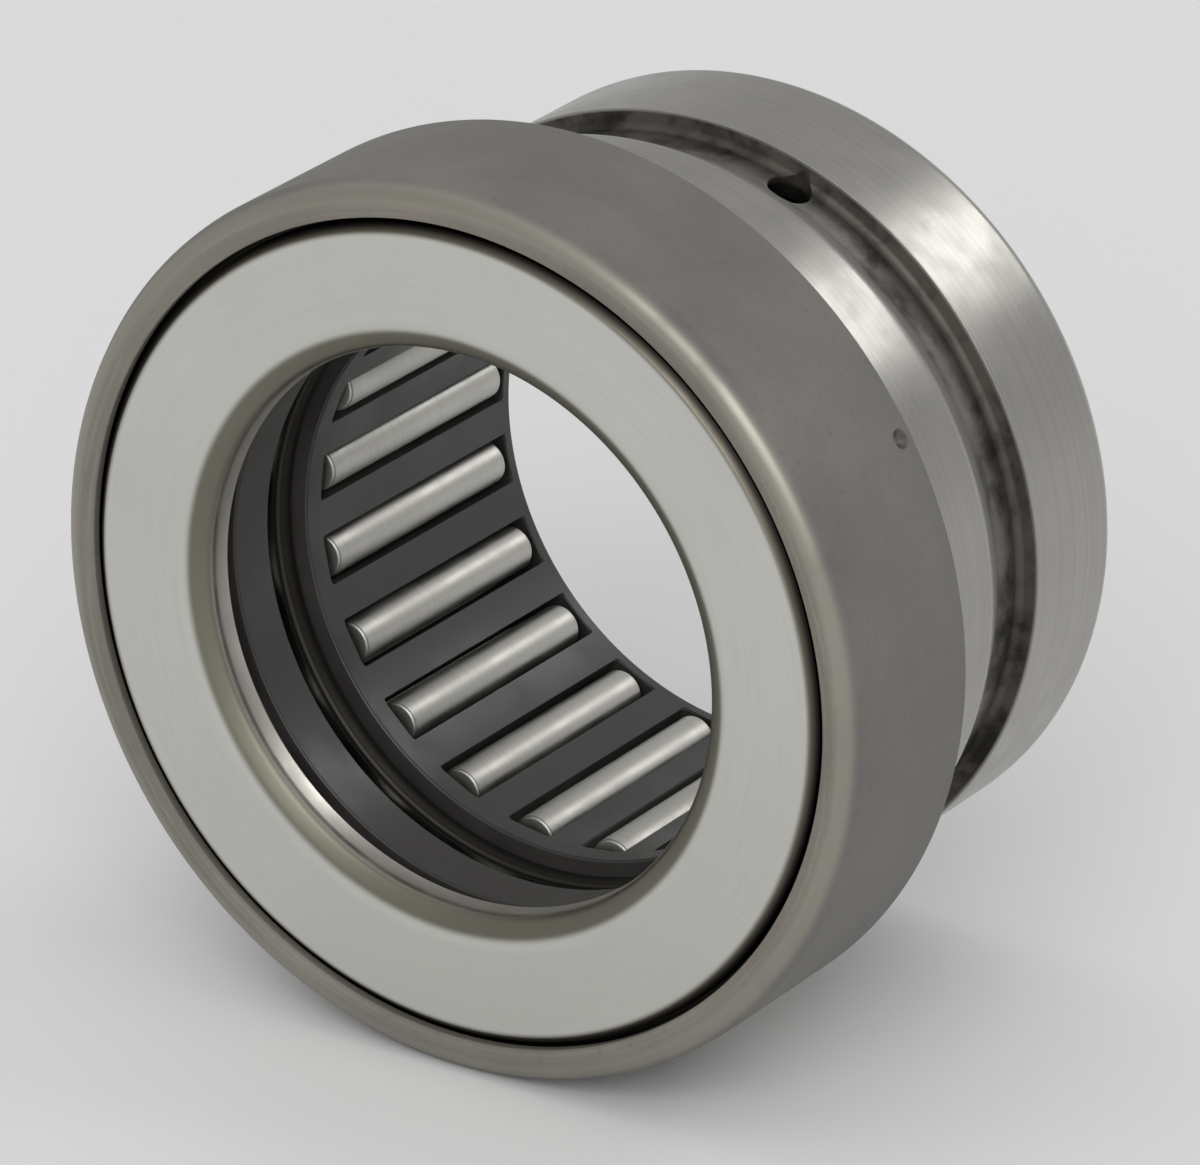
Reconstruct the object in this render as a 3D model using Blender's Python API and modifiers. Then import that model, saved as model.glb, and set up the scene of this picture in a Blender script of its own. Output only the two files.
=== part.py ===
"""Combined needle roller and thrust roller bearing with a pressed end cap.

The bearing's axis is Y. The shaft washer and the cap's lip face -Y, and the plain end faces +Y.
Each piece is modelled about the origin, the middle of the bearing on its axis.
Lengths are in metres, and an angle about the axis is counted from +X towards +Z.
"""
import math

import bmesh
import bpy
from mathutils import Matrix, Vector

MM = 0.001

# Driving sizes
OVERALL_LENGTH = 30.0 * MM
FLANGE_LENGTH = 10.6 * MM         # from the cap's lip to the flange's back face
HOUSING_DIAMETER = 42.0 * MM      # the outer ring's ground lands
CAP_DIAMETER = 48.2 * MM
SHAFT_DIAMETER = 30.0 * MM

FRONT = -OVERALL_LENGTH / 2
REAR = OVERALL_LENGTH / 2
FLANGE_BACK = FRONT + FLANGE_LENGTH
SHAFT_CLEARANCE = 0.15 * MM

# Turned rings have this many sides, a multiple of the count of thrust rollers
RING_SIDES = 80
HALF_SIDE = math.pi / RING_SIDES
ELEMENT_SIDES = 20
SHARP_ANGLE = math.radians(35)
MERGE_DISTANCE = 0.00001
SMALL_CHAMFER = 0.3 * MM
ROUNDING_STEPS = 4

# Shaft washer
WASHER_BORE_RADIUS = SHAFT_DIAMETER / 2 + SHAFT_CLEARANCE
WASHER_FACE = FRONT + 0.1 * MM    # the bright front face
WASHER_FACE_RADIUS = 21.85 * MM
WASHER_EDGE_CHAMFER = 0.4 * MM    # at the rim of the front face
WASHER_RADIUS = 22.8 * MM         # shoulder held behind the cap's lip
WASHER_STEP = 1.2 * MM            # depth of the shoulder below the front face
WASHER_BACK = FRONT + 2.8 * MM
WASHER_BACK_CHAMFER = 0.55 * MM
WASHER_LEAD_WIDTH = 1.2 * MM      # radial width of the bevel at the front of the bore
WASHER_LEAD_DEPTH = 0.75 * MM

# End cap
CAP_RADIUS = CAP_DIAMETER / 2
CAP_SHEET = 0.6 * MM
CAP_BACK = FLANGE_BACK - 0.1 * MM
CAP_LIP_RADIUS = 22.15 * MM
CAP_LIP_SLOPE = 0.2 * MM          # how far the lip's inner edge lies behind its crest
CAP_CORNER = 1.3 * MM
DENT_ANGLE = math.radians(31)
DENT_PLACE = FRONT + 9.55 * MM    # a small staking dent near the cap's back edge
DENT_RADIUS = 0.45 * MM

# Thrust rollers between the washer and the flange
FLANGE_FACE = FRONT + 8.2 * MM    # the flange's raceway
ROLLER_COUNT = 16
ROLLER_START = math.radians(11.25)
ROLLER_RADIUS = 2.5 * MM
ROLLER_LENGTH = 5.0 * MM
ROLLER_PITCH_RADIUS = 19.5 * MM
ROLLER_PLANE = (WASHER_BACK + FLANGE_FACE) / 2
POCKET_CLEARANCE = 0.2 * MM       # on each side of a rolling element
THRUST_CAGE_BORE_RADIUS = 16.0 * MM
THRUST_CAGE_RADIUS = 22.8 * MM
THRUST_CAGE_FRONT = FRONT + 4.0 * MM
THRUST_CAGE_BACK = FRONT + 7.0 * MM

# Needles and the raceway they run in
NEEDLE_COUNT = 21
NEEDLE_START = math.radians(3.4)
NEEDLE_RADIUS = 1.22 * MM
NEEDLE_LENGTH = 15.4 * MM
NEEDLE_PITCH_RADIUS = SHAFT_DIAMETER / 2 + SHAFT_CLEARANCE + NEEDLE_RADIUS
NEEDLE_MIDDLE = FRONT + 19.3 * MM
NEEDLE_CAGE_BORE_RADIUS = 15.45 * MM
NEEDLE_CAGE_RADIUS = 17.3 * MM
NEEDLE_CAGE_FRONT = FRONT + 9.6 * MM
NEEDLE_CAGE_BACK = FRONT + 28.3 * MM
NEEDLE_END_CLEARANCE = 0.6 * MM
NEEDLE_CAGE_SIDES = 4 * NEEDLE_COUNT

# Outer ring
RING_RADIUS = HOUSING_DIAMETER / 2
FLANGE_RADIUS = CAP_RADIUS - CAP_SHEET - 0.2 * MM
RACEWAY_RADIUS = 17.75 * MM
FRONT_RIB_RADIUS = 16.2 * MM
REAR_RIB_RADIUS = 16.8 * MM
FRONT_RIB_BACK = FRONT + 9.3 * MM
REAR_RIB_FRONT = FRONT + 28.6 * MM
REAR_CORNER = 1.0 * MM            # rounding of the ring's rear outer edge
GROOVE_FRONT = FRONT + 18.1 * MM
GROOVE_FLOOR_FRONT = FRONT + 20.1 * MM
GROOVE_BACK = FRONT + 22.45 * MM
GROOVE_WALL = 0.3 * MM            # axial run of the steep rear wall
GROOVE_DEPTH = 1.0 * MM
OIL_HOLE_ANGLE = math.radians(70.5)
OIL_HOLE_PLACE = FRONT + 21.1 * MM
OIL_HOLE_RADIUS = 1.15 * MM

# The turning axis of a ring's mesh is local Z, and this turn lays it along Y
LAY_ALONG_Y = -math.pi / 2


def clear_scene():
    """Remove every object, mesh, material and collection left in the file."""
    for obj in list(bpy.data.objects):
        bpy.data.objects.remove(obj, do_unlink=True)
    for store in (bpy.data.meshes, bpy.data.materials, bpy.data.collections):
        for item in list(store):
            store.remove(item)


def new_collection(name):
    collection = bpy.data.collections.new(name)
    bpy.context.scene.collection.children.link(collection)
    return collection


def metal(name, color, roughness):
    """A metallic Principled material of one colour."""
    material = bpy.data.materials.new(name)
    material.use_nodes = True
    shader = material.node_tree.nodes["Principled BSDF"]
    shader.inputs["Base Color"].default_value = (*color, 1.0)
    shader.inputs["Metallic"].default_value = 1.0
    shader.inputs["Roughness"].default_value = roughness
    material.diffuse_color = (*color, 1.0)
    return material


def about_axis(radius, along, angle):
    """The point at a radius and an angle about the bearing's axis."""
    return Vector((radius * math.cos(angle), along, radius * math.sin(angle)))


def add_object(name, mesh, collection, material=None):
    obj = bpy.data.objects.new(name, mesh)
    collection.objects.link(obj)
    if material:
        mesh.materials.clear()
        mesh.materials.append(material)
    return obj


def shade_round(mesh):
    mesh.shade_smooth()
    mesh.set_sharp_from_angle(angle=SHARP_ANGLE)


def turned_ring(name, section, material, start_angle=HALF_SIDE, sides=RING_SIDES):
    """A ring turned from a closed section of (radius, along) points, its outer side rear to front."""
    mesh = bpy.data.meshes.new(name)
    points = [(radius, 0.0, along) for radius, along in section]
    edges = [(i, (i + 1) % len(points)) for i in range(len(points))]
    mesh.from_pydata(points, edges, [])
    ring = add_object(name, mesh, parts, material)
    ring.rotation_euler = (LAY_ALONG_Y, -start_angle, 0.0)
    screw = ring.modifiers.new("Turn", "SCREW")
    screw.axis = "Z"
    screw.steps = sides
    screw.render_steps = sides
    screw.use_merge_vertices = True
    screw.merge_threshold = MERGE_DISTANCE
    return ring


def arc(centre, radius, start, end, steps):
    """Points of an arc in a section, with its angles counted from outward towards the rear."""
    points = []
    for step in range(steps + 1):
        angle = start + (end - start) * step / steps
        points.append((centre[0] + radius * math.cos(angle), centre[1] + radius * math.sin(angle)))
    return points


def cutter_from(name, bm):
    """A hidden cutter object made from a bmesh."""
    mesh = bpy.data.meshes.new(name)
    bm.to_mesh(mesh)
    bm.free()
    cutter = add_object(name, mesh, cutters)
    cutter.hide_render = True
    cutter.display_type = "WIRE"
    return cutter


def cut(obj, cutter):
    boolean = obj.modifiers.new("Cut", "BOOLEAN")
    boolean.operation = "DIFFERENCE"
    boolean.solver = "EXACT"
    boolean.object = cutter


def settle(obj):
    """Turn an object's modifiers into its mesh, then shade it."""
    depsgraph = bpy.context.evaluated_depsgraph_get()
    mesh = bpy.data.meshes.new_from_object(obj.evaluated_get(depsgraph), depsgraph=depsgraph)
    mesh.name = obj.name
    obj.modifiers.clear()
    obj.data = mesh
    shade_round(mesh)


def pocket_cutter(name, count, start_angle, pitch_radius, along, size):
    """One box for each pocket of a cage; size is radial, tangential and axial."""
    bm = bmesh.new()
    for index in range(count):
        angle = start_angle + index * 2 * math.pi / count
        place = Matrix.Translation(about_axis(pitch_radius, along, angle))
        turn = Matrix.Rotation(-angle, 4, "Y")
        stretch = Matrix.Diagonal((size[0], size[2], size[1], 1.0))
        bmesh.ops.create_cube(bm, size=1.0, matrix=place @ turn @ stretch)
    return cutter_from(name, bm)


def rolling_element_mesh(name, radius, length, material):
    """A cylinder along local Z with chamfered ends."""
    bm = bmesh.new()
    bmesh.ops.create_cone(bm, cap_ends=True, segments=ELEMENT_SIDES,
                          radius1=radius, radius2=radius, depth=length)
    rims = [edge for edge in bm.edges if abs(edge.verts[0].co.z - edge.verts[1].co.z) < MERGE_DISTANCE]
    bmesh.ops.bevel(bm, geom=rims, offset=SMALL_CHAMFER, segments=1, profile=0.5, affect="EDGES")
    mesh = bpy.data.meshes.new(name)
    bm.to_mesh(mesh)
    bm.free()
    mesh.materials.append(material)
    shade_round(mesh)
    return mesh


def make_outer_ring():
    """The machined ring: flange and thrust raceway in front, needle raceway, groove and oil hole."""
    floor_radius = RING_RADIUS - GROOVE_DEPTH
    rear_centre = (RING_RADIUS - REAR_CORNER, REAR - REAR_CORNER)
    section = arc(rear_centre, REAR_CORNER, math.pi / 2, 0.0, ROUNDING_STEPS)
    section += [
        (RING_RADIUS, GROOVE_BACK),
        (floor_radius, GROOVE_BACK - GROOVE_WALL),
        (floor_radius, GROOVE_FLOOR_FRONT),
        (RING_RADIUS, GROOVE_FRONT),
        (RING_RADIUS, FLANGE_BACK),
        (FLANGE_RADIUS - SMALL_CHAMFER, FLANGE_BACK),
        (FLANGE_RADIUS, FLANGE_BACK - SMALL_CHAMFER),
        (FLANGE_RADIUS, FLANGE_FACE + SMALL_CHAMFER),
        (FLANGE_RADIUS - SMALL_CHAMFER, FLANGE_FACE),
        (FRONT_RIB_RADIUS + SMALL_CHAMFER, FLANGE_FACE),
        (FRONT_RIB_RADIUS, FLANGE_FACE + SMALL_CHAMFER),
        (FRONT_RIB_RADIUS, FRONT_RIB_BACK),
        (RACEWAY_RADIUS, FRONT_RIB_BACK),
        (RACEWAY_RADIUS, REAR_RIB_FRONT),
        (REAR_RIB_RADIUS, REAR_RIB_FRONT),
        (REAR_RIB_RADIUS, REAR - SMALL_CHAMFER),
        (REAR_RIB_RADIUS + SMALL_CHAMFER, REAR),
    ]
    ring = turned_ring("outer_ring", section, ground_steel)
    bm = bmesh.new()
    middle = about_axis((RACEWAY_RADIUS + RING_RADIUS) / 2, OIL_HOLE_PLACE, OIL_HOLE_ANGLE)
    stand = Matrix.Rotation(math.pi / 2 - OIL_HOLE_ANGLE, 4, "Y")
    bmesh.ops.create_cone(bm, cap_ends=True, segments=ELEMENT_SIDES, radius1=OIL_HOLE_RADIUS,
                          radius2=OIL_HOLE_RADIUS, depth=2 * (RING_RADIUS - RACEWAY_RADIUS),
                          matrix=Matrix.Translation(middle) @ stand)
    cut(ring, cutter_from("oil_hole_cutter", bm))
    settle(ring)


def make_end_cap():
    """The pressed sheet cap that wraps the flange and holds the washer behind its lip."""
    inner_radius = CAP_RADIUS - CAP_SHEET
    outer_corner = (CAP_RADIUS - CAP_CORNER, FRONT + CAP_CORNER)
    lip_edge = FRONT + CAP_LIP_SLOPE
    section = [(CAP_RADIUS, CAP_BACK)]
    section += arc(outer_corner, CAP_CORNER, 0.0, -math.pi / 2, ROUNDING_STEPS)
    section += [
        (CAP_LIP_RADIUS, lip_edge),
        (CAP_LIP_RADIUS, lip_edge + CAP_SHEET),
    ]
    section += arc(outer_corner, CAP_CORNER - CAP_SHEET, -math.pi / 2, 0.0, ROUNDING_STEPS)
    section.append((inner_radius, CAP_BACK))
    cap = turned_ring("end_cap", section, dark_steel)
    bm = bmesh.new()
    dent = about_axis(CAP_RADIUS, DENT_PLACE, DENT_ANGLE)
    bmesh.ops.create_uvsphere(bm, u_segments=ELEMENT_SIDES, v_segments=ELEMENT_SIDES // 2,
                              radius=DENT_RADIUS, matrix=Matrix.Translation(dent))
    cut(cap, cutter_from("cap_dent_cutter", bm))
    settle(cap)


def make_shaft_washer():
    """The ground washer that turns with the shaft, with a shoulder behind the cap's lip."""
    section = [
        (WASHER_RADIUS, WASHER_BACK),
        (WASHER_RADIUS, WASHER_FACE + WASHER_STEP),
        (WASHER_FACE_RADIUS, WASHER_FACE + WASHER_STEP),
        (WASHER_FACE_RADIUS, WASHER_FACE + WASHER_EDGE_CHAMFER),
        (WASHER_FACE_RADIUS - WASHER_EDGE_CHAMFER, WASHER_FACE),
        (WASHER_BORE_RADIUS + WASHER_LEAD_WIDTH, WASHER_FACE),
        (WASHER_BORE_RADIUS, WASHER_FACE + WASHER_LEAD_DEPTH),
        (WASHER_BORE_RADIUS, WASHER_BACK - WASHER_BACK_CHAMFER),
        (WASHER_BORE_RADIUS + WASHER_BACK_CHAMFER, WASHER_BACK),
    ]
    settle(turned_ring("shaft_washer", section, satin_steel, start_angle=0.0))


def plain_section(bore_radius, radius, front, back):
    """A rectangular section for a cage."""
    return [(radius, back), (radius, front), (bore_radius, front), (bore_radius, back)]


def make_thrust_cage():
    """The flat cage that spaces the thrust rollers."""
    section = plain_section(THRUST_CAGE_BORE_RADIUS, THRUST_CAGE_RADIUS,
                            THRUST_CAGE_FRONT, THRUST_CAGE_BACK)
    cage = turned_ring("thrust_cage", section, cage_steel, start_angle=ROLLER_START)
    pocket = (ROLLER_LENGTH + 2 * POCKET_CLEARANCE, 2 * (ROLLER_RADIUS + POCKET_CLEARANCE),
              2 * (THRUST_CAGE_BACK - THRUST_CAGE_FRONT))
    cut(cage, pocket_cutter("thrust_pocket_cutter", ROLLER_COUNT, ROLLER_START,
                            ROLLER_PITCH_RADIUS, ROLLER_PLANE, pocket))
    settle(cage)


def make_thrust_rollers():
    """Cylindrical rollers that lie along radii."""
    mesh = rolling_element_mesh("thrust_roller", ROLLER_RADIUS, ROLLER_LENGTH, roller_steel)
    for index in range(ROLLER_COUNT):
        angle = ROLLER_START + index * 2 * math.pi / ROLLER_COUNT
        roller = add_object(f"thrust_roller_{index + 1:02d}", mesh, parts)
        roller.location = about_axis(ROLLER_PITCH_RADIUS, ROLLER_PLANE, angle)
        roller.rotation_euler = (0.0, math.pi / 2 - angle, 0.0)


def make_needle_cage():
    """The drum-shaped cage that spaces the needles."""
    section = plain_section(NEEDLE_CAGE_BORE_RADIUS, NEEDLE_CAGE_RADIUS,
                            NEEDLE_CAGE_FRONT, NEEDLE_CAGE_BACK)
    cage = turned_ring("needle_cage", section, cage_steel,
                       start_angle=NEEDLE_START, sides=NEEDLE_CAGE_SIDES)
    wall = NEEDLE_CAGE_RADIUS - NEEDLE_CAGE_BORE_RADIUS
    pocket = (2 * wall, 2 * (NEEDLE_RADIUS + POCKET_CLEARANCE), NEEDLE_LENGTH + 2 * NEEDLE_END_CLEARANCE)
    cut(cage, pocket_cutter("needle_pocket_cutter", NEEDLE_COUNT, NEEDLE_START,
                            NEEDLE_PITCH_RADIUS, NEEDLE_MIDDLE, pocket))
    settle(cage)


def make_needles():
    """Long thin rollers that lie along the bearing's axis."""
    mesh = rolling_element_mesh("needle", NEEDLE_RADIUS, NEEDLE_LENGTH, roller_steel)
    for index in range(NEEDLE_COUNT):
        angle = NEEDLE_START + index * 2 * math.pi / NEEDLE_COUNT
        needle = add_object(f"needle_{index + 1:02d}", mesh, parts)
        needle.location = about_axis(NEEDLE_PITCH_RADIUS, NEEDLE_MIDDLE, angle)
        needle.rotation_euler = (LAY_ALONG_Y, -angle, 0.0)


clear_scene()
parts = new_collection("needle_thrust_bearing")
cutters = new_collection("cutters")

ground_steel = metal("ground_steel", (0.50, 0.49, 0.47), 0.32)
satin_steel = metal("satin_steel", (0.62, 0.61, 0.58), 0.38)
dark_steel = metal("dark_steel", (0.17, 0.16, 0.15), 0.42)
cage_steel = metal("cage_steel", (0.07, 0.065, 0.062), 0.40)
roller_steel = metal("roller_steel", (0.66, 0.65, 0.62), 0.22)

make_outer_ring()
make_end_cap()
make_shaft_washer()
make_thrust_cage()
make_thrust_rollers()
make_needle_cage()
make_needles()
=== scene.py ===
"""Looks for a combined needle roller and thrust roller bearing with a pressed end cap.

The bearing's axis is Y. The shaft washer and the cap's lip face -Y, and the plain end faces +Y.
Lengths are in metres, and an angle about the axis is counted from +X towards +Z.
Each CAD node is stood for by one detailed piece, whose main sizes are read from that node.
"""
import math

import bmesh
import bpy
from mathutils import Matrix, Vector


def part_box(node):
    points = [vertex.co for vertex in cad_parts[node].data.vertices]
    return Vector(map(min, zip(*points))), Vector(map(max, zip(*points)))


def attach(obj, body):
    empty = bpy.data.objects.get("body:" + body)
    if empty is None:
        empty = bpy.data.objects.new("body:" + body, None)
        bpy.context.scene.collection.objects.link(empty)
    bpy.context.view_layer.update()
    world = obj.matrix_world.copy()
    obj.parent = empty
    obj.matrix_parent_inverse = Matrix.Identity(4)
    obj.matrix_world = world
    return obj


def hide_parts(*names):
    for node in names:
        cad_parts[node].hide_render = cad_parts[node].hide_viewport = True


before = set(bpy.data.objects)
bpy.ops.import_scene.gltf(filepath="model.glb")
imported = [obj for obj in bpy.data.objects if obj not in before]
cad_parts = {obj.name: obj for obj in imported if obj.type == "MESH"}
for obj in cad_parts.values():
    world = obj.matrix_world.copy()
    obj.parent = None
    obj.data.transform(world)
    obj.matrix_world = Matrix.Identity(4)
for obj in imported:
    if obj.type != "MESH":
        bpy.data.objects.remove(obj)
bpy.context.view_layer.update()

MM = 0.001
FULL_TURN = 2 * math.pi
RIGHT_ANGLE = math.pi / 2

# How finely the pieces are made
TURN_STEPS = 240
ELEMENT_STEPS = 56
FILLET_STEPS = 5
CORNER_STEPS = 5
CIRCLE_STEPS = 48
SHARP_ANGLE = math.radians(32)
MERGE_DISTANCE = 0.0005 * MM
GRAIN_PER_METRE = 3500.0          # how finely the machining lines are spaced

# Camera and stage
CAMERA_AZIMUTH = math.radians(33.7)
CAMERA_ELEVATION = math.radians(23.47)
CAMERA_DISTANCE = 497.15 * MM
CAMERA_LENS = 290.6               # in the camera's own millimetres, on its 36 mm sensor
AIM_LEFT = 0.662 * MM
AIM_BELOW = 2.067 * MM
FLOOR_RADIUS = 30.0
FLOOR_GAP = 0.02 * MM
WORLD_LEVELS = ((0.0, 0.66), (0.25, 0.53), (0.62, 0.52), (0.85, 0.78))
SOFT_LIGHTS = (
    # name, azimuth, elevation, distance, width, height, watts
    ("back_softbox", 23.0, 32.5, 0.9, 0.36, 0.22, 0.78),
    ("left_softbox", -75.0, 50.0, 1.0, 0.5, 0.5, 0.2),
    ("front_fill", 152.0, 33.0, 1.2, 0.8, 0.7, 5.6),
)


# Sizes read from the frame

def ring_limits(node):
    """A ring's bore radius, outer radius, front and back, from the corners of its CAD mesh."""
    corners = [vertex.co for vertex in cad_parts[node].data.vertices]
    radii = [math.hypot(corner.x, corner.z) for corner in corners]
    alongs = [corner.y for corner in corners]
    return min(radii), max(radii), min(alongs), max(alongs)


def middle_of(node):
    low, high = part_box(node)
    return (low + high) / 2


def angle_of(place):
    return math.atan2(place.z, place.x)


def nodes_starting(start):
    return sorted(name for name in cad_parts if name.startswith(start))


def needle_nodes():
    return [name for name in nodes_starting("needle_") if name != "needle_cage"]


# Shapes

def rounded_outline(corners):
    """Points of a closed section from its corners (radius, along, fillet), each fillet an arc."""
    points = []
    for index, (radius, along, fillet) in enumerate(corners):
        corner = Vector((radius, along))
        if not fillet:
            points.append(corner)
            continue
        to_last = (Vector(corners[index - 1][:2]) - corner).normalized()
        to_next = (Vector(corners[(index + 1) % len(corners)][:2]) - corner).normalized()
        half_angle = to_last.angle(to_next) / 2
        reach = fillet / math.tan(half_angle)
        centre = corner + (to_last + to_next).normalized() * fillet / math.sin(half_angle)
        first = corner + to_last * reach - centre
        last = corner + to_next * reach - centre
        for step in range(FILLET_STEPS + 1):
            spoke = first.lerp(last, step / FILLET_STEPS).normalized()
            points.append(centre + spoke * fillet)
    return points


def new_object(name, bm, material):
    """A scene object from a bmesh, shaded smooth with its hard edges kept."""
    bmesh.ops.recalc_face_normals(bm, faces=bm.faces)
    mesh = bpy.data.meshes.new(name)
    bm.to_mesh(mesh)
    bm.free()
    obj = bpy.data.objects.new(name, mesh)
    bpy.context.scene.collection.objects.link(obj)
    mesh.materials.append(material)
    shade_round(mesh)
    return obj


def shade_round(mesh):
    mesh.shade_smooth()
    mesh.set_sharp_from_angle(angle=SHARP_ANGLE)


def flatten_shading(obj):
    """Let large flat faces keep their own normals beside small fillets."""
    weighted = obj.modifiers.new("Weighted normals", "WEIGHTED_NORMAL")
    weighted.keep_sharp = True
    weighted.weight = 90


def turned_mesh(outline, steps, start_angle=0.0):
    """A bmesh turned about Y from a section of (radius, along) points."""
    bm = bmesh.new()
    first = Matrix.Rotation(-start_angle, 3, "Y")
    verts = [bm.verts.new(first @ Vector((radius, along, 0.0))) for radius, along in outline]
    edges = [bm.edges.new((verts[i - 1], verts[i])) for i in range(len(verts))]
    bmesh.ops.spin(bm, geom=verts + edges, axis=(0, -1, 0), cent=(0, 0, 0),
                   angle=FULL_TURN, steps=steps, use_merge=True)
    bmesh.ops.remove_doubles(bm, verts=bm.verts, dist=MERGE_DISTANCE)
    bmesh.ops.dissolve_degenerate(bm, edges=bm.edges, dist=MERGE_DISTANCE)
    return bm


def turned(name, corners, material, start_angle=0.0):
    """A turned ring from rounded corners."""
    bm = turned_mesh(rounded_outline(corners), TURN_STEPS, start_angle)
    return new_object(name, bm, material)


def lofted(levels):
    """A closed bmesh through flat outlines with equal numbers of points, capped at both ends."""
    bm = bmesh.new()
    rows = [[bm.verts.new(point) for point in level] for level in levels]
    for low, high in zip(rows, rows[1:]):
        for i in range(len(low)):
            bm.faces.new((low[i - 1], low[i], high[i], high[i - 1]))
    bm.faces.new(rows[0])
    bm.faces.new(rows[-1])
    bmesh.ops.recalc_face_normals(bm, faces=bm.faces)
    return bm


def rounded_rectangle(half_width, half_length, corner, height):
    """Points round a rectangle at a height, width along X and length along Y."""
    points = []
    for quarter, (side_x, side_y) in enumerate(((1, 1), (-1, 1), (-1, -1), (1, -1))):
        centre_x = side_x * (half_width - corner)
        centre_y = side_y * (half_length - corner)
        for step in range(CORNER_STEPS + 1):
            angle = (quarter + step / CORNER_STEPS) * RIGHT_ANGLE
            points.append((centre_x + corner * math.cos(angle),
                           centre_y + corner * math.sin(angle), height))
    return points


def circle(radius, height):
    """Points round a circle at a height."""
    angles = [FULL_TURN * step / CIRCLE_STEPS for step in range(CIRCLE_STEPS)]
    return [(radius * math.cos(a), radius * math.sin(a), height) for a in angles]


def outward_at(angle, along):
    """The frame of a cutter: local Z points away from the axis, and local Y runs along it."""
    return Matrix.Translation((0, along, 0)) @ Matrix.Rotation(RIGHT_ANGLE - angle, 4, "Y")


def cut_away(obj, cutters):
    """Cut each closed bmesh, given with its matrix, out of an object's mesh."""
    joined = bmesh.new()
    for bm, place in cutters:
        piece = bpy.data.meshes.new("cutter")
        bm.to_mesh(piece)
        bm.free()
        piece.transform(place)
        joined.from_mesh(piece)
        bpy.data.meshes.remove(piece)
    mesh = bpy.data.meshes.new("cutters")
    joined.to_mesh(mesh)
    joined.free()
    cutter = bpy.data.objects.new("cutters", mesh)
    bpy.context.scene.collection.objects.link(cutter)
    boolean = obj.modifiers.new("Cut", "BOOLEAN")
    boolean.operation = "DIFFERENCE"
    boolean.solver = "EXACT"
    boolean.object = cutter
    depsgraph = bpy.context.evaluated_depsgraph_get()
    result = bpy.data.meshes.new_from_object(obj.evaluated_get(depsgraph), depsgraph=depsgraph)
    obj.modifiers.remove(boolean)
    obj.data = result
    shade_round(result)
    bpy.data.objects.remove(cutter)
    bpy.data.meshes.remove(mesh)


# Materials

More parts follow.
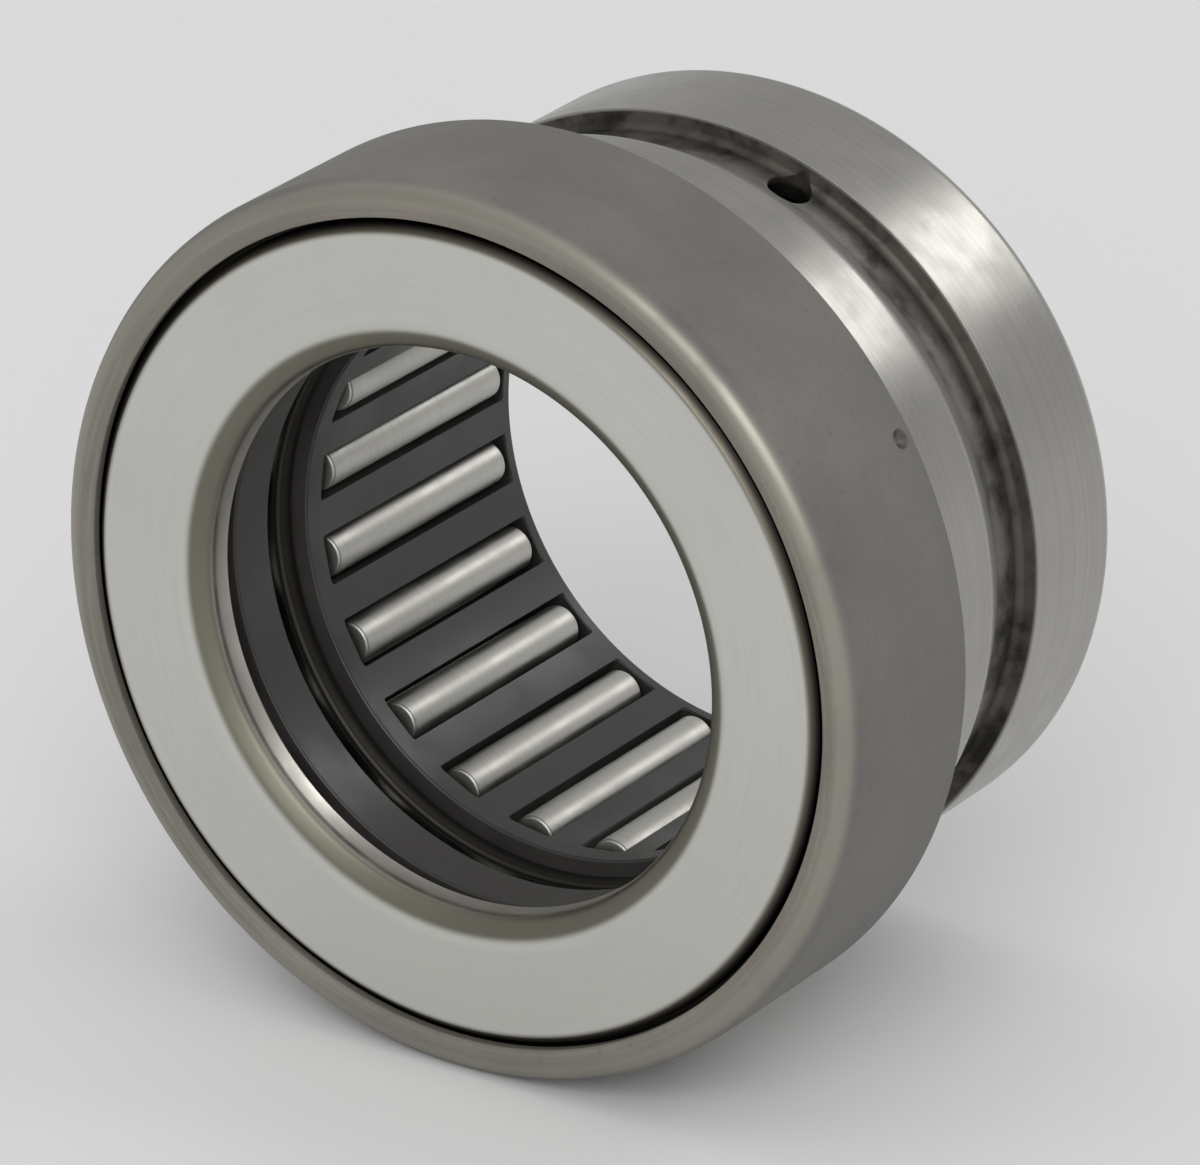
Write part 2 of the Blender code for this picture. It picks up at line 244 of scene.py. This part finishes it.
class Surface:
    """One metallic or plain material, with short ways to add nodes to it."""

    def __init__(self, name, metallic=1.0):
        self.material = bpy.data.materials.new(name)
        self.material.use_nodes = True
        self.tree = self.material.node_tree
        self.shader = self.tree.nodes["Principled BSDF"]
        self.shader.inputs["Metallic"].default_value = metallic
        self.place = self.add("ShaderNodeTexCoord").outputs["Object"]

    def add(self, kind, **settings):
        node = self.tree.nodes.new(kind)
        for setting, value in settings.items():
            setattr(node, setting, value)
        return node

    def feed(self, socket, value):
        """Link a value that is another socket, or set it."""
        if isinstance(value, bpy.types.NodeSocket):
            self.tree.links.new(value, socket)
        else:
            socket.default_value = value

    def vector(self, operation, first, second=(0.0, 0.0, 0.0), output="Vector"):
        node = self.add("ShaderNodeVectorMath", operation=operation)
        self.feed(node.inputs[0], first)
        self.feed(node.inputs[1], second)
        return node.outputs[output]

    def math(self, operation, first, second=0.0):
        node = self.add("ShaderNodeMath", operation=operation)
        self.feed(node.inputs[0], first)
        self.feed(node.inputs[1], second)
        return node.outputs[0]

    def from_axis(self):
        """Distance from the bearing's axis."""
        flat = self.vector("MULTIPLY", self.place, (1.0, 0.0, 1.0))
        return self.vector("LENGTH", flat, output="Value")

    def along(self):
        """Distance along the bearing's axis."""
        split = self.add("ShaderNodeSeparateXYZ")
        self.feed(split.inputs[0], self.place)
        return split.outputs["Y"]

    def noise(self, scale, detail=3.0, roughness=0.5, where=None):
        """Noise from 0 to 1. scale is one number or one for each axis, in cells per metre."""
        sizes = scale if isinstance(scale, tuple) else (scale,) * 3
        node = self.add("ShaderNodeTexNoise")
        stretched = self.vector("MULTIPLY", where or self.place, sizes)
        self.feed(node.inputs["Vector"], stretched)
        node.inputs["Scale"].default_value = 1.0
        node.inputs["Detail"].default_value = detail
        node.inputs["Roughness"].default_value = roughness
        return node.outputs["Fac"]

    def spread(self, value, low, high, to_low, to_high):
        """Map a value from one span to another, smoothly and clamped."""
        node = self.add("ShaderNodeMapRange", interpolation_type="SMOOTHSTEP")
        self.feed(node.inputs["Value"], value)
        node.inputs["From Min"].default_value = low
        node.inputs["From Max"].default_value = high
        self.feed(node.inputs["To Min"], to_low)
        self.feed(node.inputs["To Max"], to_high)
        return node.outputs["Result"]

    def mix(self, share, first, second):
        """The first color where share is 0, and the second where it is 1."""
        node = self.add("ShaderNodeMix", data_type="RGBA")
        self.feed(node.inputs["Factor"], share)
        self.feed(node.inputs[6], first)
        self.feed(node.inputs[7], second)
        return node.outputs[2]

    def within(self, value, low, high, soft):
        """1 where a value lies between two limits, softened at both, and 0 outside them."""
        above = self.spread(value, low - soft, low + soft, 0.0, 1.0)
        below = self.spread(value, high - soft, high + soft, 1.0, 0.0)
        return self.math("MULTIPLY", above, below)

    def near(self, point, inner, outer):
        """1 within one distance of a point, and 0 beyond another."""
        reach = self.vector("DISTANCE", self.place, point, output="Value")
        return self.spread(reach, inner, outer, 1.0, 0.0)

    def color(self, value):
        self.feed(self.shader.inputs["Base Color"], value)

    def rough(self, value):
        self.feed(self.shader.inputs["Roughness"], value)

    def bump(self, height, depth):
        """Raise the surface by up to depth metres where height is 1."""
        node = self.add("ShaderNodeBump")
        node.inputs["Strength"].default_value = 1.0
        node.inputs["Distance"].default_value = depth
        self.feed(node.inputs["Height"], height)
        self.feed(self.shader.inputs["Normal"], node.outputs["Normal"])

    def grain(self, radial=False):
        """Fine machining lines that run round the axis, from 0 to 1."""
        if not radial:
            return self.noise((12.0, GRAIN_PER_METRE, 12.0), detail=1.0)
        combined = self.add("ShaderNodeCombineXYZ")
        self.feed(combined.inputs["X"], self.math("MULTIPLY", self.from_axis(), GRAIN_PER_METRE))
        around = self.vector("NORMALIZE", self.vector("MULTIPLY", self.place, (1.0, 0.0, 1.0)))
        slow = self.vector("MULTIPLY", around, (0.0, 0.0, 3.0))
        moved = self.vector("ADD", slow, combined.outputs[0])
        return self.noise(1.0, detail=2.0, where=moved)


def shade(red, green, blue):
    return (red, green, blue, 1.0)


def ground_steel():
    """Ground lands with fine lines round the axis, a dark blotchy groove, and painted shade: a near-black
    front rib and oil hole.
    """
    surface = Surface("ground_steel_finish")
    radius = surface.from_axis()
    along = surface.along()
    lines = surface.grain()
    clouds = surface.noise(110.0)
    bright = surface.mix(clouds, shade(0.35, 0.34, 0.315), shade(0.41, 0.40, 0.375))
    bright = surface.mix(surface.spread(lines, 0.3, 0.7, 0.0, 0.30), bright, shade(0.28, 0.27, 0.25))
    blotches = surface.noise(260.0, detail=5.0, roughness=0.65)
    reached = surface.math("ADD", along, surface.spread(blotches, 0.25, 0.75, -0.9 * MM, 0.9 * MM))
    # The groove is lighter grey on its front slope and turns blotchy near-black towards its back wall,
    # along a ragged border.
    dark_toward_back = surface.spread(reached, GROOVE_FLOOR_FRONT - 0.9 * MM, GROOVE_FLOOR_FRONT + 1.3 * MM, 0.0, 1.0)
    patches = surface.spread(surface.noise(330.0, detail=5.0, roughness=0.6), 0.38, 0.62, 0.0, 1.0)
    scale = surface.mix(patches, shade(0.036, 0.033, 0.030), shade(0.118, 0.110, 0.097))
    scale = surface.mix(dark_toward_back, shade(0.27, 0.26, 0.24), scale)
    floor_radius = RING_RADIUS - GROOVE_DEPTH
    middle = (RACEWAY_RADIUS + floor_radius) / 2
    on_land = surface.spread(radius, RING_RADIUS - 0.25 * MM, RING_RADIUS - 0.02 * MM, 0.0, 1.0)
    before_wall = surface.spread(along, GROOVE_BACK - 0.5 * MM, GROOVE_BACK - 0.4 * MM, 1.0, 0.0)
    on_land = surface.math("MULTIPLY", on_land, before_wall)
    past_groove = surface.spread(along, GROOVE_BACK - 0.06 * MM, GROOVE_BACK - 0.01 * MM, 0.0, 1.0)
    outside = surface.spread(radius, middle, middle + 0.1 * MM, 0.0, 1.0)
    on_land = surface.math("MAXIMUM", on_land, surface.math("MULTIPLY", past_groove, outside))
    # The ground bore starts just clear of the front rib, so the rib's rounded edge keeps the dark colour
    # where it would glint: painted shade.
    in_bore = surface.within(radius, FRONT_RIB_RADIUS + 0.42 * MM, middle, 0.12 * MM)
    ground = surface.math("MAXIMUM", on_land, in_bore)
    # Painted shade: the inside of the oil hole is painted near-black for the shade down the hole.
    hole_painted_shade = surface.near(OIL_HOLE_PLACE, OIL_HOLE_RADIUS + 0.15 * MM, OIL_HOLE_RADIUS + 0.3 * MM)
    base = surface.mix(ground, scale, bright)
    # Painted shade: the front rib and its rounded edge are painted near-black for the shade in the recess
    # between the two cages.
    rib_painted_shade = surface.spread(radius, FRONT_RIB_RADIUS + 0.25 * MM, FRONT_RIB_RADIUS + 0.5 * MM, 1.0, 0.0)
    base = surface.mix(rib_painted_shade, base, shade(0.06, 0.056, 0.050))
    surface.color(surface.mix(hole_painted_shade, base, shade(0.03, 0.028, 0.026)))
    smooth = surface.spread(surface.noise(420.0), 0.3, 0.7, 0.27, 0.36)
    surface.rough(surface.spread(ground, 0.0, 1.0, 0.55, smooth))
    surface.bump(lines, 0.0012 * MM)
    return surface.material


def satin_steel():
    """The washer's fine-ground face, with darker unground steel at the front of its bore and on its edge
    bevel, and painted shade from that bevel outwards.
    """
    surface = Surface("satin_steel_finish")
    radius = surface.from_axis()
    clouds = surface.noise(70.0, detail=4.0)
    warm = surface.mix(clouds, shade(0.58, 0.575, 0.54), shade(0.66, 0.655, 0.62))
    lines = surface.grain(radial=True)
    warm = surface.mix(surface.spread(lines, 0.4, 0.8, 0.0, 0.25), warm, shade(0.52, 0.515, 0.485))
    wall = surface.mix(clouds, shade(0.52, 0.50, 0.45), shade(0.62, 0.60, 0.55))
    brown = surface.mix(clouds, shade(0.165, 0.160, 0.126), shade(0.225, 0.218, 0.174))
    bore = WASHER_BORE_RADIUS
    off_face = surface.spread(radius, bore + 0.9 * MM, bore + 1.32 * MM, 1.0, 0.0)
    on_wall = surface.spread(radius, bore + 0.02 * MM, bore + 0.16 * MM, 1.0, 0.0)
    base = surface.mix(off_face, warm, brown)
    base = surface.mix(on_wall, base, wall)
    edge = WASHER_FACE_RADIUS
    bevel = surface.spread(radius, edge - 0.65 * MM, edge - 0.3 * MM, 0.0, 1.0)
    base = surface.mix(bevel, base, shade(0.13, 0.118, 0.092))
    # Painted shade: from the outer part of the edge bevel outwards, over the step under the cap's lip, the
    # washer is painted near-black for the shade in the gap round it.
    rim = surface.spread(radius, edge - 0.38 * MM, edge - 0.06 * MM, 0.0, 1.0)
    surface.color(surface.mix(rim, base, shade(0.025, 0.023, 0.021)))
    satin = surface.spread(surface.noise(500.0), 0.3, 0.7, 0.32, 0.42)
    lead = surface.math("SUBTRACT", off_face, on_wall)
    surface.rough(surface.spread(surface.math("MAXIMUM", lead, rim), 0.0, 1.0, satin, 0.44))
    surface.bump(lines, 0.0010 * MM)
    return surface.material


def dark_steel():
    """The cap's matt dark sheet, browner on the lip, with a lighter metallic band along its rounded edge,
    partly wear and partly painted sheen.
    """
    surface = Surface("dark_steel_finish", metallic=0.0)
    clouds = surface.spread(surface.noise(90.0, detail=5.0, roughness=0.6), 0.25, 0.75, 0.0, 1.0)
    specks = surface.noise(2600.0, detail=2.0)
    side = surface.mix(clouds, shade(0.118, 0.114, 0.108), shade(0.180, 0.172, 0.155))
    lip = surface.mix(clouds, shade(0.160, 0.148, 0.126), shade(0.215, 0.198, 0.168))
    streaks = surface.spread(surface.grain(radial=True), 0.45, 0.75, 0.0, 0.3)
    lip = surface.mix(streaks, lip, shade(0.32, 0.30, 0.26))
    on_lip = surface.spread(surface.from_axis(), CAP_RADIUS - 0.9 * MM, CAP_RADIUS - 0.1 * MM, 1.0, 0.0)
    base = surface.mix(on_lip, side, lip)
    base = surface.mix(surface.spread(specks, 0.55, 0.8, 0.0, 0.35), base, shade(0.09, 0.086, 0.08))
    # Along the rounded edge the sheet is made lighter and metallic: partly bare metal from wear, partly a
    # painted sheen.
    crest = surface.within(surface.from_axis(), CAP_RADIUS - 1.05 * MM, CAP_RADIUS - 0.3 * MM, 0.2 * MM)
    wear_and_sheen = surface.math("MULTIPLY", crest, surface.spread(clouds, 0.0, 0.6, 0.45, 0.8))
    base = surface.mix(wear_and_sheen, base, shade(0.33, 0.315, 0.27))
    surface.feed(surface.shader.inputs["Metallic"], wear_and_sheen)
    # Painted shade: the small dent near the cap's back edge is painted near-black for the shade inside it.
    dent = surface.near(DENT_PLACE, 0.30 * MM, 0.62 * MM)
    surface.color(surface.mix(dent, base, shade(0.030, 0.028, 0.024)))
    matt = surface.spread(clouds, 0.3, 0.7, 0.50, 0.62)
    surface.rough(surface.spread(wear_and_sheen, 0.0, 1.0, matt, 0.36))
    surface.shader.inputs["Specular IOR Level"].default_value = 0.35
    surface.bump(specks, 0.003 * MM)
    return surface.material


def cage_steel():
    """Charcoal cages with a fine matt grain."""
    surface = Surface("cage_finish", metallic=0.0)
    clouds = surface.noise(260.0, detail=4.0)
    specks = surface.noise(3800.0, detail=2.0)
    surface.color(surface.mix(clouds, shade(0.030, 0.028, 0.027), shade(0.060, 0.056, 0.053)))
    surface.rough(surface.spread(clouds, 0.3, 0.7, 0.34, 0.48))
    surface.bump(specks, 0.004 * MM)
    return surface.material


def roller_steel():
    """Honed rolling elements, with fine lines round each one's own axis, local Z."""
    surface = Surface("roller_steel_finish")
    lines = surface.noise((12.0, 12.0, 4000.0), detail=1.0)
    clouds = surface.noise(420.0)
    base = surface.mix(clouds, shade(0.50, 0.49, 0.455), shade(0.60, 0.59, 0.55))
    surface.color(surface.mix(surface.spread(lines, 0.4, 0.75, 0.0, 0.25), base, shade(0.40, 0.39, 0.36)))
    surface.rough(surface.spread(clouds, 0.3, 0.7, 0.40, 0.49))
    surface.bump(lines, 0.0008 * MM)
    return surface.material


# Named sizes of what the CAD nodes only outline

_, CAP_RADIUS, CAP_FRONT, CAP_BACK = ring_limits("end_cap")
CAP_SHEET = 0.6 * MM
CAP_LIP_RADIUS = 22.15 * MM
CAP_LIP_CREST = 22.7 * MM
CAP_LIP_SLOPE = 0.2 * MM
CAP_CORNER = 1.3 * MM
DENT_ANGLE = math.radians(31)
DENT_ALONG = CAP_BACK - 0.95 * MM
DENT_PLACE = (CAP_RADIUS * math.cos(DENT_ANGLE), DENT_ALONG, CAP_RADIUS * math.sin(DENT_ANGLE))

FRONT_RIB_RADIUS, FLANGE_RADIUS, FLANGE_FACE, RING_REAR = ring_limits("outer_ring")
REAR_RIB_RADIUS = 16.8 * MM
RING_RADIUS = 21.0 * MM
FLANGE_BACK = CAP_BACK + 0.1 * MM
RACEWAY_RADIUS = 17.75 * MM
RACEWAY_FRONT = FLANGE_FACE + 1.1 * MM
RACEWAY_BACK = RING_REAR - 1.4 * MM
REAR_CORNER = 1.0 * MM
GROOVE_DEPTH = 1.0 * MM
GROOVE_FRONT = RING_REAR - 11.9 * MM
GROOVE_FLOOR_FRONT = RING_REAR - 9.9 * MM
GROOVE_BACK = RING_REAR - 7.55 * MM
GROOVE_WALL = 0.3 * MM
GROOVE_FILLET = 1.6 * MM
OIL_HOLE_ANGLE = math.radians(70.5)
OIL_HOLE_ALONG = RING_REAR - 8.9 * MM
OIL_HOLE_RADIUS = 1.15 * MM
OIL_HOLE_MIDDLE = RING_RADIUS - GROOVE_DEPTH - 1.1 * MM
OIL_HOLE_PLACE = (OIL_HOLE_MIDDLE * math.cos(OIL_HOLE_ANGLE), OIL_HOLE_ALONG,
                  OIL_HOLE_MIDDLE * math.sin(OIL_HOLE_ANGLE))

WASHER_BORE_RADIUS, WASHER_RADIUS, WASHER_FRONT, WASHER_BACK = ring_limits("shaft_washer")
WASHER_FACE_RADIUS = 21.85 * MM
WASHER_EDGE_CHAMFER = 0.4 * MM
WASHER_STEP = 1.2 * MM
WASHER_LEAD_WIDTH = 1.2 * MM
WASHER_LEAD_DEPTH = 0.75 * MM

POCKET_CLEARANCE = 0.2 * MM
POCKET_END_CLEARANCE = 0.6 * MM
POCKET_CORNER = 0.4 * MM
POCKET_FLARE = 0.06 * MM
CAGE_FILLET = 0.14 * MM
ELEMENT_RIM = 0.16 * MM
ELEMENT_CROWN = 0.03 * MM


# Pieces

def make_outer_ring(material):
    """The machined ring: flange, thrust raceway, needle raceway, groove and oil hole."""
    floor_radius = RING_RADIUS - GROOVE_DEPTH
    corners = [
        (RING_RADIUS, RING_REAR, REAR_CORNER),
        (RING_RADIUS, GROOVE_BACK, 0.05 * MM),
        (floor_radius, GROOVE_BACK - GROOVE_WALL, 0.5 * MM),
        (floor_radius, GROOVE_FLOOR_FRONT, GROOVE_FILLET),
        (RING_RADIUS, GROOVE_FRONT, GROOVE_FILLET),
        (RING_RADIUS, FLANGE_BACK, 0.15 * MM),
        (FLANGE_RADIUS, FLANGE_BACK, 0.3 * MM),
        (FLANGE_RADIUS, FLANGE_FACE, 0.3 * MM),
        (FRONT_RIB_RADIUS, FLANGE_FACE, 0.25 * MM),
        (FRONT_RIB_RADIUS, RACEWAY_FRONT, 0.1 * MM),
        (RACEWAY_RADIUS, RACEWAY_FRONT, 0.2 * MM),
        (RACEWAY_RADIUS, RACEWAY_BACK, 0.2 * MM),
        (REAR_RIB_RADIUS, RACEWAY_BACK, 0.1 * MM),
        (REAR_RIB_RADIUS, RING_REAR, 0.3 * MM),
    ]
    ring = turned("outer_ring_finished", corners, material)
    hole = lofted([
        circle(OIL_HOLE_RADIUS, RACEWAY_RADIUS - 0.5 * MM),
        circle(OIL_HOLE_RADIUS, floor_radius - 0.15 * MM),
        circle(OIL_HOLE_RADIUS + 0.05 * MM, floor_radius + 0.02 * MM),
        circle(OIL_HOLE_RADIUS + 0.05 * MM, RING_RADIUS + 0.5 * MM),
    ])
    cut_away(ring, [(hole, outward_at(OIL_HOLE_ANGLE, OIL_HOLE_ALONG))])
    return finish_piece(ring, "outer_ring_and_cap", ["outer_ring"])


def make_end_cap(material):
    """The pressed sheet cap, wrapped round the flange and folded into a lip."""
    inner_radius = CAP_RADIUS - CAP_SHEET
    corners = [
        (CAP_RADIUS, CAP_BACK, 0.12 * MM),
        (CAP_RADIUS, CAP_FRONT, CAP_CORNER),
        (CAP_LIP_CREST, CAP_FRONT, 0.12 * MM),
        (CAP_LIP_RADIUS, CAP_FRONT + CAP_LIP_SLOPE, 0.1 * MM),
        (CAP_LIP_RADIUS, CAP_FRONT + CAP_LIP_SLOPE + CAP_SHEET, 0.1 * MM),
        (CAP_LIP_CREST, CAP_FRONT + CAP_SHEET, 0.1 * MM),
        (inner_radius, CAP_FRONT + CAP_SHEET, CAP_CORNER - CAP_SHEET),
        (inner_radius, CAP_BACK, 0.12 * MM),
    ]
    cap = turned("end_cap_finished", corners, material)
    dent = lofted([
        rounded_rectangle(0.12 * MM, 0.10 * MM, 0.06 * MM, CAP_RADIUS - 0.45 * MM),
        rounded_rectangle(0.36 * MM, 0.34 * MM, 0.24 * MM, CAP_RADIUS - 0.28 * MM),
        rounded_rectangle(0.56 * MM, 0.52 * MM, 0.42 * MM, CAP_RADIUS + 0.06 * MM),
    ])
    cut_away(cap, [(dent, outward_at(DENT_ANGLE, DENT_ALONG))])
    return finish_piece(cap, "outer_ring_and_cap", ["end_cap"])


def make_shaft_washer(material):
    """The washer that turns with the shaft, bevelled at the front of its bore and rim."""
    corners = [
        (WASHER_RADIUS, WASHER_BACK, 0.2 * MM),
        (WASHER_RADIUS, WASHER_FRONT + WASHER_STEP, 0.15 * MM),
        (WASHER_FACE_RADIUS, WASHER_FRONT + WASHER_STEP, 0.1 * MM),
        (WASHER_FACE_RADIUS, WASHER_FRONT + WASHER_EDGE_CHAMFER, 0.1 * MM),
        (WASHER_FACE_RADIUS - WASHER_EDGE_CHAMFER, WASHER_FRONT, 0.25 * MM),
        (WASHER_BORE_RADIUS + WASHER_LEAD_WIDTH, WASHER_FRONT, 2.0 * MM),
        (WASHER_BORE_RADIUS, WASHER_FRONT + WASHER_LEAD_DEPTH, 0.8 * MM),
        (WASHER_BORE_RADIUS, WASHER_BACK - 0.6 * MM, 0.08 * MM),
        (WASHER_BORE_RADIUS + 0.5 * MM, WASHER_BACK, 0.08 * MM),
    ]
    washer = turned("shaft_washer_finished", corners, material)
    return finish_piece(washer, "shaft_washer", ["shaft_washer"])


def pocket(half_width, half_length, inner, outer):
    """A cutter for one cage pocket, flared where it meets the cage's inner and outer walls."""
    levels = []
    for height, flare in (
        (inner - POCKET_FLARE, 2 * POCKET_FLARE),
        (inner + POCKET_FLARE, 0.0),
        (outer - POCKET_FLARE, 0.0),
        (outer + POCKET_FLARE, 2 * POCKET_FLARE),
    ):
        levels.append(rounded_rectangle(half_width + flare, half_length + flare,
                                        POCKET_CORNER + flare, height))
    return lofted(levels)


def plain_cage(node, element, material):
    """A cage before its pockets are cut, with a facet's middle at its first rolling element."""
    bore, radius, front, back = ring_limits(node)
    corners = [(radius, back, CAGE_FILLET), (radius, front, CAGE_FILLET),
               (bore, front, CAGE_FILLET), (bore, back, CAGE_FILLET)]
    start = angle_of(middle_of(element)) + math.pi / TURN_STEPS
    return turned(node + "_finished", corners, material, start)


def make_thrust_cage(material):
    """The flat cage, with a pocket for each thrust roller through its thickness."""
    _, _, front, back = ring_limits("thrust_cage")
    rollers = nodes_starting("thrust_roller_")
    length, diameter = element_size(rollers[0])
    cage = plain_cage("thrust_cage", rollers[0], material)
    cutters = []
    for roller in rollers:
        middle = middle_of(roller)
        half_width = length / 2 + POCKET_CLEARANCE
        half_length = diameter / 2 + POCKET_CLEARANCE
        half_depth = (back - front) / 2
        shape = pocket(half_width, half_length, -half_depth, half_depth)
        lie = Matrix.Rotation(-angle_of(middle), 4, "Y") @ Matrix.Rotation(RIGHT_ANGLE, 4, "X")
        cutters.append((shape, Matrix.Translation(middle) @ lie))
    cut_away(cage, cutters)
    return finish_piece(cage, "thrust_cage", ["thrust_cage"])


def make_needle_cage(material):
    """The drum cage, with a pocket for each needle through its wall."""
    bore, radius, _, _ = ring_limits("needle_cage")
    needles = needle_nodes()
    length, diameter = element_size(needles[0])
    cage = plain_cage("needle_cage", needles[0], material)
    cutters = []
    for needle in needles:
        middle = middle_of(needle)
        half_width = diameter / 2 + POCKET_CLEARANCE
        half_length = length / 2 + POCKET_END_CLEARANCE
        shape = pocket(half_width, half_length, bore, radius)
        cutters.append((shape, outward_at(angle_of(middle), middle.y)))
    cut_away(cage, cutters)
    return finish_piece(cage, "needle_cage", ["needle_cage"])


def element_size(node):
    """A rolling element's length and diameter, from the corners of its CAD mesh."""
    corners = [vertex.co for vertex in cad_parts[node].data.vertices]
    middle = middle_of(node)
    outward = Vector((math.cos(angle_of(middle)), 0.0, math.sin(angle_of(middle))))
    axial = max(corner.y for corner in corners) - min(corner.y for corner in corners)
    reach = [corner.dot(outward) for corner in corners]
    radial = max(reach) - min(reach)
    return max(axial, radial), min(axial, radial)


def element_mesh(name, length, diameter, material):
    """One rolling element along local Z, with rounded rims and faintly crowned ends."""
    radius = diameter / 2
    half = length / 2
    flat = radius * 0.6
    corners = [
        (0.0, -half, 0.0),
        (flat, -half, 0.1 * MM),
        (radius, -half + ELEMENT_CROWN, ELEMENT_RIM),
        (radius, half - ELEMENT_CROWN, ELEMENT_RIM),
        (flat, half, 0.1 * MM),
        (0.0, half, 0.0),
    ]
    bm = turned_mesh(rounded_outline(corners), ELEMENT_STEPS)
    bmesh.ops.rotate(bm, verts=bm.verts, matrix=Matrix.Rotation(RIGHT_ANGLE, 3, "X"))
    sample = new_object(name, bm, material)
    mesh = sample.data
    bpy.data.objects.remove(sample)
    return mesh


def make_elements(nodes, lie, material):
    """A detailed rolling element in place of each node. lie turns local Z onto its axis at angle 0."""
    length, diameter = element_size(nodes[0])
    mesh = element_mesh(nodes[0][:-3], length, diameter, material)
    for node in nodes:
        middle = middle_of(node)
        element = bpy.data.objects.new(node + "_finished", mesh)
        bpy.context.scene.collection.objects.link(element)
        turn = Matrix.Rotation(-angle_of(middle), 4, "Y")
        element.matrix_world = Matrix.Translation(middle) @ turn @ lie
        finish_piece(element, node, [node])


def finish_piece(piece, body, nodes):
    """Shade a piece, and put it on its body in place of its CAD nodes."""
    flatten_shading(piece)
    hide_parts(*nodes)
    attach(piece, body)
    return piece


# Stage, lights and camera

def make_floor():
    """A wide pale disc just under the cap."""
    bm = bmesh.new()
    bmesh.ops.create_circle(bm, cap_ends=True, segments=128, radius=FLOOR_RADIUS)
    surface = Surface("floor_paper", metallic=0.0)
    surface.color(surface.mix(surface.noise(3.0), shade(0.80, 0.80, 0.80), shade(0.82, 0.82, 0.82)))
    surface.rough(0.9)
    surface.shader.inputs["Specular IOR Level"].default_value = 0.1
    floor = new_object("floor", bm, surface.material)
    floor.location.z = -CAP_RADIUS - FLOOR_GAP


def make_world():
    """Soft light from all round, brightest overhead."""
    world = bpy.data.worlds.new("studio")
    bpy.context.scene.world = world
    world.use_nodes = True
    tree = world.node_tree
    place = tree.nodes.new("ShaderNodeTexCoord")
    split = tree.nodes.new("ShaderNodeSeparateXYZ")
    ramp = tree.nodes.new("ShaderNodeValToRGB")
    tree.links.new(place.outputs["Generated"], split.inputs[0])
    tree.links.new(split.outputs["Z"], ramp.inputs[0])
    stops = ramp.color_ramp.elements
    stops.remove(stops[1])
    for index, (position, level) in enumerate(WORLD_LEVELS):
        stop = stops.new(position) if index else stops[0]
        stop.position = position
        stop.color = shade(level, level, level)
    tree.links.new(ramp.outputs[0], tree.nodes["Background"].inputs["Color"])
    tree.nodes["Background"].inputs["Strength"].default_value = 1.0


def soft_light(name, azimuth, elevation, distance, width, height, watts):
    """A softbox that faces the bearing. Azimuth is counted from +Y, behind, towards +X."""
    light = bpy.data.lights.new(name, "AREA")
    light.shape = "RECTANGLE"
    light.size = width
    light.size_y = height
    light.energy = watts
    obj = bpy.data.objects.new(name, light)
    bpy.context.scene.collection.objects.link(obj)
    turn = math.radians(azimuth)
    rise = math.radians(elevation)
    outward = Vector((math.sin(turn) * math.cos(rise), math.cos(turn) * math.cos(rise), math.sin(rise)))
    obj.location = outward * distance
    obj.rotation_mode = "QUATERNION"
    obj.rotation_quaternion = outward.to_track_quat("Z", "Y")


def make_camera():
    """The camera in front, to the right and above, aimed a little left of and below the middle."""
    back = Vector((math.sin(CAMERA_AZIMUTH) * math.cos(CAMERA_ELEVATION),
                   -math.cos(CAMERA_AZIMUTH) * math.cos(CAMERA_ELEVATION),
                   math.sin(CAMERA_ELEVATION)))
    turn = back.to_track_quat("Z", "Y")
    left = turn @ Vector((-1, 0, 0))
    down = turn @ Vector((0, -1, 0))
    camera = bpy.data.cameras.new("camera")
    camera.lens = CAMERA_LENS
    camera.clip_start = 0.01
    camera.clip_end = 100.0
    obj = bpy.data.objects.new("camera", camera)
    bpy.context.scene.collection.objects.link(obj)
    obj.rotation_mode = "QUATERNION"
    obj.rotation_quaternion = turn
    obj.location = left * AIM_LEFT + down * AIM_BELOW + back * CAMERA_DISTANCE
    bpy.context.scene.camera = obj


bpy.context.scene.view_settings.view_transform = "Standard"
make_outer_ring(ground_steel())
make_end_cap(dark_steel())
make_shaft_washer(satin_steel())
charcoal = cage_steel()
make_thrust_cage(charcoal)
make_needle_cage(charcoal)
bright_steel = roller_steel()
make_elements(nodes_starting("thrust_roller_"), Matrix.Rotation(RIGHT_ANGLE, 4, "Y"), bright_steel)
make_elements(needle_nodes(), Matrix.Rotation(-RIGHT_ANGLE, 4, "X"), bright_steel)
make_floor()
make_world()
for softbox in SOFT_LIGHTS:
    soft_light(*softbox)
make_camera()
